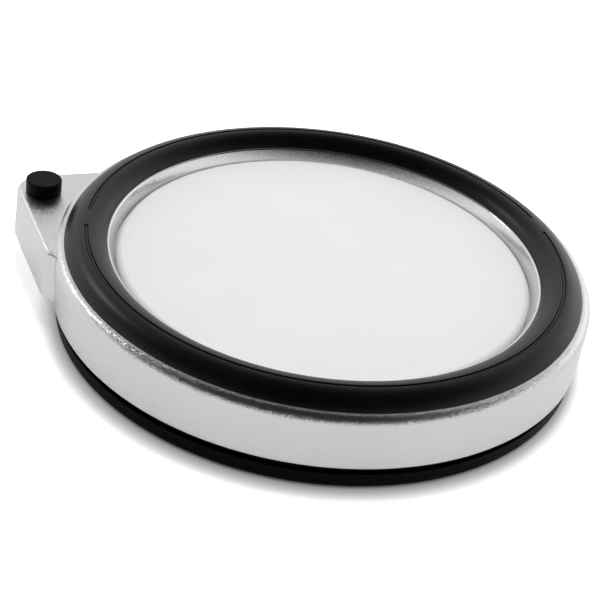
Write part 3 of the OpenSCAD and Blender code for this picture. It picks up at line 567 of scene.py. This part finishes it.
def buildHead(s):
    radius = hoopRadius - hoopSizes["width"] - bezelSizes["width"] - s["gap"]
    flangeTop = headLow.z + s["flange"]
    return lathePiece("silicone_head", (
        [(0, headLow.z), (headHigh.x, headLow.z), (headHigh.x, flangeTop), (radius, flangeTop)]
        + arcPoints((radius - s["edge"], headHigh.z - s["edge"]), s["edge"], 0, 90, steps=10)
        + [(radius * 2 / 3, headHigh.z), (radius / 3, headHigh.z), (0, headHigh.z)]))


head = buildHead(headSizes)
dress(head, "head", "head_silicone", "playing_head")
print("head:", len(head.data.polygons), "faces")

# foam spring under the head's plate: a cut ring, barrelled by its load
foamSizes = {"width": 16.0, "barrel": 0.6}


def buildFoam(s):
    low, high = boxOf("foam_ring")
    half, middle = (high.z - low.z) / 2, (high.z + low.z) / 2
    radius = (half ** 2 + s["barrel"] ** 2) / (2 * s["barrel"])
    swing = math.degrees(math.asin(half / radius))
    return lathePiece("foam_spring", (
        arcPoints((high.x - radius, middle), radius, -swing, swing, steps=10)
        + arcPoints((high.x - s["width"] + radius, middle), radius, 180 - swing, 180 + swing, steps=10)))


def pressByHead(piece):
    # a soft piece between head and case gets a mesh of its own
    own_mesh(piece)


foam = buildFoam(foamSizes)
dress(foam, "case", "foam", "foam_ring")
pressByHead(foam)
# the strike sensor's lead keeps its route
sensorLead = bpy.data.objects.new("sensor_lead", frame["nodes"]["piezo_lead"].data.copy())
scene.collection.objects.link(sensorLead)
dress(sensorLead, "case", "lead_pvc", "piezo_lead")
pressByHead(sensorLead)
print("foam:", len(foam.data.polygons), "faces")

# control knob: a plain turned cap with a small rounding, hollow underneath for the nut and shaft
knobSizes = {"edge": 0.8, "footEdge": 0.3, "recess": 13.5, "recessDepth": 2.2,
             "socket": 6.1, "socketDepth": 3.9}


def buildKnob(s):
    middle = (knobLow + knobHigh) / 2
    radius = (knobHigh.x - knobLow.x) / 2
    edge, foot = s["edge"], s["footEdge"]
    roof = knobLow.z + s["recessDepth"]
    return lathePiece("control_cap", (
        [(s["recess"] / 2, knobLow.z)]
        + arcPoints((radius - foot, knobLow.z + foot), foot, -90, 0, steps=4)
        + arcPoints((radius - edge, knobHigh.z - edge), edge, 0, 90, steps=8)
        + [(0, knobHigh.z), (0, roof + s["socketDepth"]), (s["socket"] / 2, roof + s["socketDepth"]),
           (s["socket"] / 2, roof), (s["recess"] / 2, roof)]), (middle.x, middle.y), steps=128)


knob = buildKnob(knobSizes)
dress(knob, "control", "knob_plastic", "control_knob")
print("knob:", len(knob.data.polygons), "faces")

# camera at the photograph's place
view = {"azimuth": -24.47, "elevation": 33.28, "distance": 0.7363, "target": (-0.0172, -0.0144, 0.0225),
        "roll": 8.68, "lens": 84.08, "sensor": 36.0}
camera = bpy.data.objects.new("camera", bpy.data.cameras.new("camera"))
camera.data.lens = view["lens"]
camera.data.sensor_width = view["sensor"]
turnTo = (Matrix.Rotation(math.radians(view["azimuth"]), 4, "Z")
          @ Matrix.Rotation(math.radians(90 - view["elevation"]), 4, "X")
          @ Matrix.Rotation(math.radians(view["roll"]), 4, "Z"))
stand = Vector(view["target"]) + view["distance"] * towards(view["azimuth"], view["elevation"])
camera.matrix_world = Matrix.Translation(stand) @ turnTo
scene.collection.objects.link(camera)
scene.camera = camera

# white studio: bright all round and below, with the dark room above and behind the camera
studio = {"white": 1.15, "dark": 0.01, "azimuth": -30, "elevation": 70, "darkTo": 38, "brightFrom": 78}
world = bpy.data.worlds.new("studio")
scene.world = world
world.use_nodes = True
skyTree = world.node_tree
skyTree.nodes.clear()
way = addNode(skyTree, "ShaderNodeTexCoord")
darkest = towards(studio["azimuth"], studio["elevation"])
nearness = addNode(skyTree, "ShaderNodeVectorMath", {1: darkest}, {0: way.outputs["Generated"]},
                   operation="DOT_PRODUCT")
strength = addNode(skyTree, "ShaderNodeMapRange",
                   {"From Min": math.cos(math.radians(studio["brightFrom"])),
                    "From Max": math.cos(math.radians(studio["darkTo"])),
                    "To Min": studio["white"], "To Max": studio["dark"]},
                   {"Value": nearness.outputs["Value"]}, interpolation_type="SMOOTHSTEP")
sky = addNode(skyTree, "ShaderNodeBackground", {"Color": linear("#ffffff")},
              {"Strength": strength.outputs[0]})
addNode(skyTree, "ShaderNodeOutputWorld", None, {"Surface": sky.outputs[0]})

# a small lamp at the left rear and a broad low one at the right, which show in gloss alone,
# and one overhead that lights the object and casts its shadow
softboxes = {
    "key": {"azimuth": -142, "elevation": 40, "distance": 1.3, "size": 0.14, "watts": 1.4, "mirrored": True},
    "side": {"azimuth": 112, "elevation": 6, "distance": 2.2, "size": 1.4, "watts": 3.4, "mirrored": True},
    "top": {"azimuth": 140, "elevation": 82, "distance": 1.5, "size": 0.4, "watts": 14.0,
            "mirrored": False},
}
for name, box in softboxes.items():
    lamp = bpy.data.objects.new(name, bpy.data.lights.new(name, "AREA"))
    lamp.data.size = box["size"]
    lamp.data.energy = box["watts"]
    lamp.location = towards(box["azimuth"], box["elevation"]) * box["distance"]
    lamp.rotation_euler = lamp.location.to_track_quat("Z", "Y").to_euler()
    lamp.visible_glossy = box["mirrored"]
    lamp.visible_diffuse = not box["mirrored"]
    scene.collection.objects.link(lamp)

# plain white floor that keeps the object's shadow and adds a painted contact shade beside it, in metres
floorSizes = {"radius": 12.0, "sides": 64, "drop": 0.0001, "colour": "#f5f5f5",
              "glow": 0.75, "mirroredGlow": 0.2, "shadeReach": 0.012, "shadePower": 2.0, "shadeRays": 8}


def paperFloor(s):
    # matt white paper: a plain pale ground, lifted towards white for the eye
    material, tree = startMaterial("white_paper_sweep")
    paper = addNode(tree, "ShaderNodeBsdfDiffuse", {"Color": linear(s["colour"])})
    path = addNode(tree, "ShaderNodeLightPath")
    mirrored = addNode(tree, "ShaderNodeMath", None,
                       {0: path.outputs["Is Glossy Ray"], 1: path.outputs["Is Transmission Ray"]},
                       operation="MAXIMUM")
    dimmed = addNode(tree, "ShaderNodeMath", {1: s["mirroredGlow"]}, {0: mirrored.outputs[0]},
                     operation="MULTIPLY")
    # the glow fades where the object hems the floor in: a painted contact shade that darkens the floor next
    # to it, on top of the lamps' real shadow
    paintedShadeMask = addNode(tree, "ShaderNodeAmbientOcclusion", {"Distance": s["shadeReach"]},
                       samples=s["shadeRays"])
    # occlusion raised to a power: the painted shade's fall-off near the object
    paintedShadeFade = addNode(tree, "ShaderNodeMath", {1: s["shadePower"]}, {0: paintedShadeMask.outputs["AO"]},
                    operation="POWER")
    seen = addNode(tree, "ShaderNodeMath", {1: s["glow"]}, {0: paintedShadeFade.outputs[0]}, operation="MULTIPLY")
    share = addNode(tree, "ShaderNodeMath", None,
                    {0: path.outputs["Is Camera Ray"], 1: seen.outputs[0], 2: dimmed.outputs[0]},
                    operation="MULTIPLY_ADD")
    glow = addNode(tree, "ShaderNodeEmission", {"Color": linear("#ffffff")}, {"Strength": share.outputs[0]})
    both = addNode(tree, "ShaderNodeAddShader", None, {0: paper.outputs[0], 1: glow.outputs[0]})
    addNode(tree, "ShaderNodeOutputMaterial", None, {"Surface": both.outputs[0]})
    return material


floorMesh = bmesh.new()
bmesh.ops.create_circle(floorMesh, cap_ends=True, segments=floorSizes["sides"], radius=floorSizes["radius"])
floor = meshPiece("floor", floorMesh)
floor.location.z = -floorSizes["drop"]
floor.data.materials.append(paperFloor(floorSizes))
print("studio:", len(softboxes), "softboxes")
